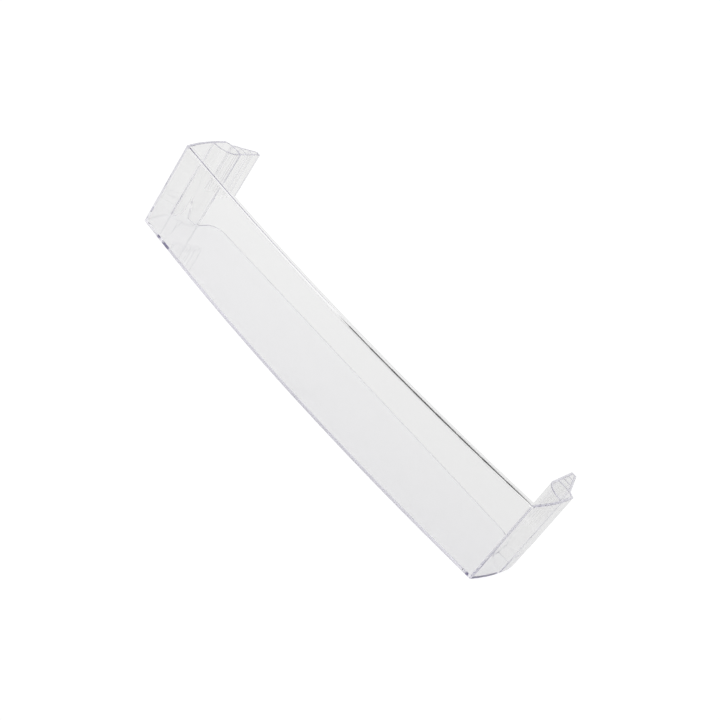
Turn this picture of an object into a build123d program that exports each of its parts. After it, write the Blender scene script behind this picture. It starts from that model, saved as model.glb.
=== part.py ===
"""Fridge door shelf: one clear moulded tray that hangs in the door by two ribbed hooks at its ends."""
import os
from math import asin, degrees, sqrt

from build123d import *

# Driving dimensions in millimetres

# Tray
front_width = 450.0
front_bow = 13.5
height = 88.0
wall = 2.5
floor_thickness = 2.5
front_corner_radius = 1.5

# Lip turned in along the top of the front panel, and the round of the rim between the front corners
lip_width = 6.3
lip_thickness = 2.4
rim_depth = 2.2
rim_radius = 2.4
rim_setback = 3.0

# End walls, spreading and bulging outward in plan
end_depth = 61.0
end_splay = 8.0
end_bulge = 2.2
rear_corner_radius = 2.0

# Pocket at each end, open at its top and bottom
pocket_inset = 13.0
pocket_depth = 20.0
pocket_bend = 16.0
pocket_wall = 2.2
shoulder_set = 3.0
shoulder_bulge = 3.0

# Hollow hook behind the upper part of each pocket, a wedge in plan with two cross ribs
hook_length = 28.5
hook_height = 52.0
hook_root = 16.8
hook_tip = 5.4
rib_pitch = 9.2
rib_thickness = 1.8

# Rear edge of the floor, short of the hooks' ends, and its corners rounded off towards the pockets
floor_setback = 2.5
floor_corner_radius = 14.0

# Slanted notch for the door's lug, at the lower outer corner of each pocket
notch_height = 25.6
notch_width = 7.3
heel_radius = 8.0

# Moulded corner and edge radii
bend_radius = 1.0
cell_radius = 0.6
base_radius = 0.8
edge_radius = 0.5

# Derived places, with depths taken back from the line through the two front corners
half_front = front_width / 2
half_inner = half_front - pocket_inset
pocket_front = end_depth - pocket_depth
shoulder_depth = end_depth + shoulder_set
hook_reach = shoulder_depth + hook_length
floor_reach = hook_reach - floor_setback
corner_line = -(hook_reach - front_bow) / 2
rim_end = half_front - rim_setback
plan = Plane((0, corner_line, 0))
front_corner = Vector(half_front, 0)
rear_corner = Vector(half_front + end_splay, end_depth)
shoulder = Vector(half_inner, shoulder_depth)
far = front_width


def arc_circle(start, end, bulge):
    """Centre and radius of the circle whose arc bulges to the right on the way from start to end."""
    way = end - start
    radius = way.length**2 / (8 * bulge) + bulge / 2
    outward = Vector(way.Y, -way.X).normalized()
    return (start + end) / 2 - outward * (radius - bulge), radius


front_centre, front_curve = arc_circle(Vector(-half_front, 0), front_corner, front_bow)
end_centre, end_curve = arc_circle(front_corner, rear_corner, end_bulge)
shoulder_centre, shoulder_curve = arc_circle(rear_corner, shoulder, shoulder_bulge)


def half_tray(inset):
    """Right half of the tray in plan, drawn in from the outer faces of its front panel and end wall."""
    with BuildSketch() as half:
        with Locations(front_centre):
            Circle(front_curve - inset)
        with Locations(end_centre):
            Circle(end_curve - inset, mode=Mode.INTERSECT)
        Rectangle(far, 2 * far, align=(Align.MIN, Align.CENTER), mode=Mode.INTERSECT)
        corner_radius = max(front_corner_radius - inset, cell_radius)
        fillet(half.vertices().sort_by_distance(front_corner)[0], corner_radius)
    return half.sketch


def shoulder_disc(inset):
    """Circle whose rear arc is the rear wall of the right pocket, drawn in from its outer face."""
    with BuildSketch() as disc:
        with Locations(shoulder_centre):
            Circle(shoulder_curve - inset)
    return disc.sketch


def end_ground(inset):
    """Ground of the right pocket and hook, from the tray side of their inner wall, drawn in from it."""
    with BuildSketch() as ground:
        with Locations((half_inner + inset, pocket_front + inset)):
            Rectangle(far, far, align=(Align.MIN, Align.MIN))
        fillet(ground.vertices().sort_by(lambda v: v.X + v.Y)[0], pocket_bend - inset)
    return ground.sketch


# Right hook wedge in plan
with BuildSketch() as wedge:
    with BuildLine():
        Polyline(
            (half_inner, pocket_front + pocket_bend),
            (half_inner + hook_root, end_depth),
            (half_inner + hook_tip, hook_reach),
            (half_inner, hook_reach),
            close=True,
        )
    make_face()

# Right pocket as a solid block
with BuildSketch() as pocket_block:
    add(half_tray(0))
    add(shoulder_disc(0), mode=Mode.INTERSECT)
    fillet(pocket_block.vertices().sort_by_distance(rear_corner)[0], rear_corner_radius)

# Outline of the tray and the pockets, with the floor carried back between them
with BuildSketch(plan) as outline:
    add(half_tray(0))
    with Locations(shoulder_centre):
        Rectangle(4 * far, far, align=(Align.CENTER, Align.MIN), mode=Mode.SUBTRACT)
    add(pocket_block.sketch)
    Rectangle(half_inner, floor_reach, align=(Align.MIN, Align.MIN))
    fillet(outline.vertices().sort_by_distance((half_inner, floor_reach))[0], floor_corner_radius)
    mirror(about=Plane.YZ)

# Hooks with the pockets that they stand behind
with BuildSketch(plan.offset(height - hook_height)) as hook_outline:
    add(pocket_block.sketch)
    add(wedge.sketch)
    fillet(hook_outline.vertices().sort_by_distance((half_inner + hook_root, shoulder_depth))[0], bend_radius)
    fillet(hook_outline.vertices().group_by(Axis.Y)[-1], bend_radius)
    mirror(about=Plane.YZ)

# Inside of the tray
with BuildSketch(plan.offset(floor_thickness)) as tray_hollow:
    add(half_tray(wall))
    with Locations((half_inner, shoulder_centre.Y)):
        Rectangle(half_inner, far, align=(Align.MAX, Align.MIN))
    add(end_ground(0), mode=Mode.SUBTRACT)
    fillet(tray_hollow.vertices().sort_by_distance((rear_corner.X, pocket_front))[0], bend_radius)
    mirror(about=Plane.YZ)

# Mouth of the tray behind the lip
with BuildSketch(plan.offset(height - lip_thickness)) as mouth:
    add(tray_hollow.sketch_local)
    with Locations(front_centre):
        Circle(front_curve - lip_width, mode=Mode.INTERSECT)
    fillet(mouth.vertices().sort_by_distance(front_corner)[0], bend_radius)
    fillet(mouth.vertices().sort_by_distance((-half_front, 0))[0], bend_radius)

# Inside of each pocket
with BuildSketch(plan) as pocket_hollow:
    add(half_tray(wall))
    add(shoulder_disc(wall), mode=Mode.INTERSECT)
    add(end_ground(pocket_wall), mode=Mode.INTERSECT)
    fillet(pocket_hollow.vertices().sort_by_distance(rear_corner)[0], cell_radius)
    fillet(pocket_hollow.vertices().sort_by_distance(shoulder)[0], cell_radius)
    fillet(pocket_hollow.vertices().sort_by_distance((rear_corner.X, pocket_front))[0], cell_radius)
    mirror(about=Plane.YZ)

# Cells of each hook, parted by the cross ribs
with BuildSketch(plan) as hook_cells:
    add(wedge.sketch)
    offset(amount=-pocket_wall, kind=Kind.INTERSECTION)
    add(shoulder_disc(0), mode=Mode.SUBTRACT)
    with Locations((half_inner, shoulder_depth + 1.5 * rib_pitch)):
        with GridLocations(far, rib_pitch, 1, 2):
            Rectangle(far, rib_thickness, mode=Mode.SUBTRACT)
    fillet(hook_cells.vertices(), cell_radius)
    mirror(about=Plane.YZ)

# Lug notch of each pocket, cut through the rear wall, and the rounded heel of the end wall beside it
with BuildPart() as notch:
    with BuildSketch(Plane.XZ.offset(-corner_line - end_depth + wall)):
        with BuildLine():
            Polyline(
                (rear_corner.X - notch_width, 0),
                (rear_corner.X + notch_width, 0),
                (rear_corner.X + notch_width, 2 * notch_height),
                close=True,
            )
        make_face()
    extrude(amount=-far)
    with BuildSketch(plan):
        add(shoulder_disc(0))
    extrude(amount=height, mode=Mode.INTERSECT)
    with BuildSketch(Plane.YZ.offset(rear_corner.X - notch_width)):
        with Locations((corner_line + end_depth - wall - heel_radius, 0)):
            Rectangle(heel_radius, heel_radius, align=(Align.MIN, Align.MIN))
        with Locations((corner_line + end_depth - wall - heel_radius, heel_radius)):
            Circle(heel_radius, mode=Mode.SUBTRACT)
    extrude(amount=notch_width + wall)
    mirror(about=Plane.YZ)

# Ring in front of the round of the rim, drawn outward from its axis at the left end and swung to the right
rim_axis = Axis((0, corner_line + front_centre.Y, 0), (0, 0, 1))
rim_way = Vector(-rim_end, -sqrt(front_curve**2 - rim_end**2))
with BuildPart() as rim_waste:
    with BuildSketch(Plane(rim_axis.position, x_dir=rim_way, z_dir=rim_way.cross(rim_axis.direction))):
        with BuildLine():
            RadiusArc((front_curve - rim_depth, height), (front_curve, height - rim_depth), rim_radius)
            Polyline(
                (front_curve, height - rim_depth),
                (front_curve + wall, height - rim_depth),
                (front_curve + wall, height + wall),
                (front_curve - rim_depth, height + wall),
                (front_curve - rim_depth, height),
            )
        make_face()
    revolve(axis=rim_axis, revolution_arc=2 * degrees(asin(rim_end / front_curve)))

with BuildPart() as shelf:
    add(outline.sketch)
    extrude(amount=height)
    fillet(shelf.faces().sort_by(Axis.Z)[0].edges(), base_radius)
    add(hook_outline.sketch)
    extrude(amount=hook_height)
    add(tray_hollow.sketch)
    extrude(amount=height - floor_thickness - lip_thickness, mode=Mode.SUBTRACT)
    add(mouth.sketch)
    extrude(amount=lip_thickness, mode=Mode.SUBTRACT)
    add(pocket_hollow.sketch)
    extrude(amount=height, mode=Mode.SUBTRACT)
    add(hook_cells.sketch)
    extrude(amount=height, mode=Mode.SUBTRACT)
    add(notch.part, mode=Mode.SUBTRACT)
    fillet(shelf.faces().sort_by(Axis.Z)[-1].edges(), edge_radius)
    add(rim_waste.part, mode=Mode.SUBTRACT)

shelf.part.label = "door_shelf"

os.makedirs("parts", exist_ok=True)
export_step(shelf.part, "parts/door_shelf.step")
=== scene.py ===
"""Looks of the fridge door shelf: its clear moulded plastic, a pale studio and the camera."""
import math

import bpy
from mathutils import Matrix, Vector

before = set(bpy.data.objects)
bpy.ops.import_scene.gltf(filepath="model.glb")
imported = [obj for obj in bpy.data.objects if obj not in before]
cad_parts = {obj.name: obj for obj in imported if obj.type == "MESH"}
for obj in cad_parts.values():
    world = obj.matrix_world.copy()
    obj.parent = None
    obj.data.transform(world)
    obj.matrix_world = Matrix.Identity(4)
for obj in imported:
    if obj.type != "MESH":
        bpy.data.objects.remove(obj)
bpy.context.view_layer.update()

# Camera, in degrees and metres
AZIMUTH, ELEVATION, ROLL = 22.802, 27.686, 35.605
TARGET = (0.01739, 0.00059, 0.04294)
DISTANCE = 1.1095
LENS, SENSOR = 63.34, 36.0

# Floor, in metres, and its glow straight to the camera and in the plastic, where a painted falloff of
# light makes it dimmer from left to right
FLOOR_SIZE = 24.0
FLOOR_DROP = 0.0004
FLOOR_ALBEDO = 0.3
GLOW_SEEN = 0.76
GLOW_PLACES, GLOW_LEVELS = (-0.25, 0.3), (0.6, 0.545)

# Room, from the front of the shelf to behind it
ROOM_PLACES, ROOM_LEVELS = (-0.2, 0.3), (0.8, 1.0)

# Dark gap in the room, high up behind the shelf: its slanted lower edge, front, left side and level
GAP_SLANT = 0.7
GAP_LOWER, GAP_FRONT, GAP_LEFT = (0.75, 0.80), (0.25, 0.4), (-0.39, -0.36)
GAP_LEVEL = 0.03

# Fill lamp
FILL_AIM = (0.3, 0.4, -1.0)
FILL_STRENGTH, FILL_ANGLE = 0.35, 70.0

# Clear plastic, and what is left of light that goes straight through one of its faces in shadows
IOR = 1.58
TINT = (0.99, 0.99, 0.986, 1.0)
ABSORPTION_DENSITY = 2.4
ABSORPTION_COLOUR = (0.08, 0.02, 0.36, 1.0)
SHADOW_TINT = (0.93, 0.93, 0.95, 1.0)

# Surface of the plastic: cloudy haze and greasy smudges in its roughness, flow waves in its bump
HAZE = {"scale": 38.0, "detail": 5.0, "roughness": 0.6}
HAZE_SPAN, HAZE_ROUGHNESS = (0.35, 0.75), (0.015, 0.06)
SMUDGE = {"scale": 11.0, "detail": 3.0, "roughness": 0.5}
SMUDGE_SPAN, SMUDGE_ROUGHNESS = (0.5, 0.75), (0.0, 0.03)
FLOW = {"scale": 9.0, "detail": 2.0, "roughness": 0.4}
WAVE_STRENGTH, WAVE_HEIGHT = 0.15, 0.0008

# Bounces of light, enough to leave the edges of the floor and walls again
BOUNCES = 512

WHITE = (1.0, 1.0, 1.0, 1.0)
OFF_TO_ON, ALL_TO_GAP = (0.0, 1.0), (1.0, GAP_LEVEL)


def new_tree(owner):
    """Empty node tree of a material or world."""
    owner.use_nodes = True
    tree = owner.node_tree
    tree.nodes.clear()
    return tree


def node(tree, kind, **values):
    """New node with plain values on its sockets, by socket name, or on its own settings."""
    made = tree.nodes.new(kind)
    sockets = {socket.name.lower().replace(" ", "_"): socket for socket in made.inputs}
    for name, value in values.items():
        if name in sockets:
            sockets[name].default_value = value
        else:
            setattr(made, name, value)
    return made


def mapped(tree, source, span, levels):
    """Socket that goes smoothly from the first level to the second while the source crosses the span."""
    ramp = node(tree, "ShaderNodeMapRange", interpolation_type="SMOOTHSTEP")
    for name, value in zip(("From Min", "From Max", "To Min", "To Max"), (*span, *levels)):
        ramp.inputs[name].default_value = value
    tree.links.new(source, ramp.inputs["Value"])
    return ramp.outputs["Result"]


def combined(tree, operation, first, second):
    """Socket with two sockets, or a socket and a number, put together by a math node."""
    made = node(tree, "ShaderNodeMath", operation=operation)
    tree.links.new(first, made.inputs[0])
    if isinstance(second, float):
        made.inputs[1].default_value = second
    else:
        tree.links.new(second, made.inputs[1])
    return made.outputs[0]


def noise(tree, place, settings):
    """Socket with noise of the given settings, fixed to the object."""
    made = node(tree, "ShaderNodeTexNoise", **settings)
    tree.links.new(place.outputs["Object"], made.inputs["Vector"])
    return made.outputs["Fac"]


def clear_plastic():
    """Clear polystyrene: glossy, faintly lilac in depth, with flow waves, haze and smudges."""
    mat = bpy.data.materials.new("clear_plastic")
    tree = new_tree(mat)
    link = tree.links.new
    out = node(tree, "ShaderNodeOutputMaterial")
    body = node(tree, "ShaderNodeBsdfPrincipled", base_color=TINT, ior=IOR)
    body.inputs["Transmission Weight"].default_value = 1.0
    place = node(tree, "ShaderNodeTexCoord")

    cloudy = mapped(tree, noise(tree, place, HAZE), HAZE_SPAN, HAZE_ROUGHNESS)
    greasy = mapped(tree, noise(tree, place, SMUDGE), SMUDGE_SPAN, SMUDGE_ROUGHNESS)
    link(combined(tree, "ADD", cloudy, greasy), body.inputs["Roughness"])

    wave = node(tree, "ShaderNodeBump", strength=WAVE_STRENGTH, distance=WAVE_HEIGHT)
    link(noise(tree, place, FLOW), wave.inputs["Height"])
    link(wave.outputs["Normal"], body.inputs["Normal"])

    # Light from the lamp and the floor passes straight through
    path = node(tree, "ShaderNodeLightPath")
    soft = combined(tree, "MAXIMUM", path.outputs["Is Shadow Ray"], path.outputs["Is Diffuse Ray"])
    through = node(tree, "ShaderNodeBsdfTransparent", color=SHADOW_TINT)
    mix = node(tree, "ShaderNodeMixShader")
    link(soft, mix.inputs[0])
    link(body.outputs[0], mix.inputs[1])
    link(through.outputs[0], mix.inputs[2])
    link(mix.outputs[0], out.inputs["Surface"])

    depth = node(tree, "ShaderNodeVolumeAbsorption", color=ABSORPTION_COLOUR, density=ABSORPTION_DENSITY)
    link(depth.outputs[0], out.inputs["Volume"])
    return mat


def studio_floor():
    """Wide white floor under the shelf, which keeps its soft shadow; its glow seen in the plastic
    carries a painted falloff of light, dimmer to the right.
    """
    half = FLOOR_SIZE / 2
    mesh = bpy.data.meshes.new("studio_floor")
    corners = [(-half, -half, -FLOOR_DROP), (half, -half, -FLOOR_DROP)]
    corners += [(half, half, -FLOOR_DROP), (-half, half, -FLOOR_DROP)]
    mesh.from_pydata(corners, [], [(0, 1, 2, 3)])
    floor = bpy.data.objects.new("studio_floor", mesh)
    bpy.context.scene.collection.objects.link(floor)

    mat = bpy.data.materials.new("studio_white")
    tree = new_tree(mat)
    link = tree.links.new
    out = node(tree, "ShaderNodeOutputMaterial")
    matt = node(tree, "ShaderNodeBsdfDiffuse", color=(FLOOR_ALBEDO, FLOOR_ALBEDO, FLOOR_ALBEDO, 1.0))
    glow = node(tree, "ShaderNodeEmission", color=WHITE)
    both = node(tree, "ShaderNodeAddShader")
    path = node(tree, "ShaderNodeLightPath")
    straight = combined(tree, "MULTIPLY", path.outputs["Is Camera Ray"], GLOW_SEEN)
    shown = combined(tree, "MAXIMUM", path.outputs["Is Glossy Ray"], path.outputs["Is Transmission Ray"])
    place = node(tree, "ShaderNodeNewGeometry")
    way = node(tree, "ShaderNodeSeparateXYZ")
    link(place.outputs["Position"], way.inputs[0])
    # Painted falloff of light: the glow seen in the plastic dims from left to right, as if lit from the
    # left
    painted_falloff = mapped(tree, way.outputs["X"], GLOW_PLACES, GLOW_LEVELS)
    level = combined(tree, "MAXIMUM", straight, combined(tree, "MULTIPLY", shown, painted_falloff))
    link(level, glow.inputs["Strength"])
    link(matt.outputs[0], both.inputs[0])
    link(glow.outputs[0], both.inputs[1])
    link(both.outputs[0], out.inputs["Surface"])
    mesh.materials.append(mat)


def studio_world():
    """White room round the table, a little dimmer in front, with one dark gap high up behind."""
    world = bpy.data.worlds.new("studio")
    bpy.context.scene.world = world
    tree = new_tree(world)
    link = tree.links.new
    out = node(tree, "ShaderNodeOutputWorld")
    back = node(tree, "ShaderNodeBackground", color=WHITE)
    place = node(tree, "ShaderNodeTexCoord")
    way = node(tree, "ShaderNodeSeparateXYZ")
    link(place.outputs["Generated"], way.inputs[0])
    room = mapped(tree, way.outputs["Y"], ROOM_PLACES, ROOM_LEVELS)

    slope = combined(tree, "MULTIPLY", way.outputs["X"], GAP_SLANT)
    above = mapped(tree, combined(tree, "SUBTRACT", way.outputs["Z"], slope), GAP_LOWER, OFF_TO_ON)
    behind = mapped(tree, way.outputs["Y"], GAP_FRONT, OFF_TO_ON)
    inside = mapped(tree, way.outputs["X"], GAP_LEFT, OFF_TO_ON)
    gap = combined(tree, "MULTIPLY", combined(tree, "MULTIPLY", above, behind), inside)
    lit = combined(tree, "MULTIPLY", room, mapped(tree, gap, OFF_TO_ON, ALL_TO_GAP))

    path = node(tree, "ShaderNodeLightPath")
    link(combined(tree, "MAXIMUM", lit, path.outputs["Is Camera Ray"]), back.inputs["Strength"])
    link(back.outputs[0], out.inputs["Surface"])


def fill_light():
    """Soft even light from one side of the sky, which isn't seen in the plastic."""
    lamp = bpy.data.lights.new("fill", "SUN")
    lamp.energy = FILL_STRENGTH
    lamp.angle = math.radians(FILL_ANGLE)
    fill = bpy.data.objects.new("fill", lamp)
    fill.rotation_euler = Vector(FILL_AIM).to_track_quat("-Z", "Y").to_euler()
    fill.visible_glossy = fill.visible_transmission = False
    bpy.context.scene.collection.objects.link(fill)


def set_camera():
    """Camera of the photograph, rolled so that the shelf runs across the picture's diagonal."""
    az, el, roll = (math.radians(angle) for angle in (AZIMUTH, ELEVATION, ROLL))
    ahead = Vector((-math.sin(az) * math.cos(el), math.cos(az) * math.cos(el), -math.sin(el)))
    right = Vector((math.cos(az), math.sin(az), 0.0))
    up = right.cross(ahead)
    across = right * math.cos(roll) + up * math.sin(roll)
    upward = up * math.cos(roll) - right * math.sin(roll)
    turn = Matrix((across, upward, -ahead)).transposed().to_4x4()
    data = bpy.data.cameras.new("camera")
    data.lens, data.sensor_width = LENS, SENSOR
    camera = bpy.data.objects.new("camera", data)
    bpy.context.scene.collection.objects.link(camera)
    camera.matrix_world = Matrix.Translation(Vector(TARGET) - ahead * DISTANCE) @ turn
    bpy.context.scene.camera = camera


set_camera()
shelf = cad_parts["door_shelf"]
plastic = clear_plastic()
for slot in shelf.material_slots:
    slot.material = plastic
studio_floor()
studio_world()
fill_light()
cycles = bpy.context.scene.cycles
cycles.max_bounces = cycles.glossy_bounces = cycles.transmission_bounces = BOUNCES
bpy.context.scene.view_settings.view_transform = "Standard"
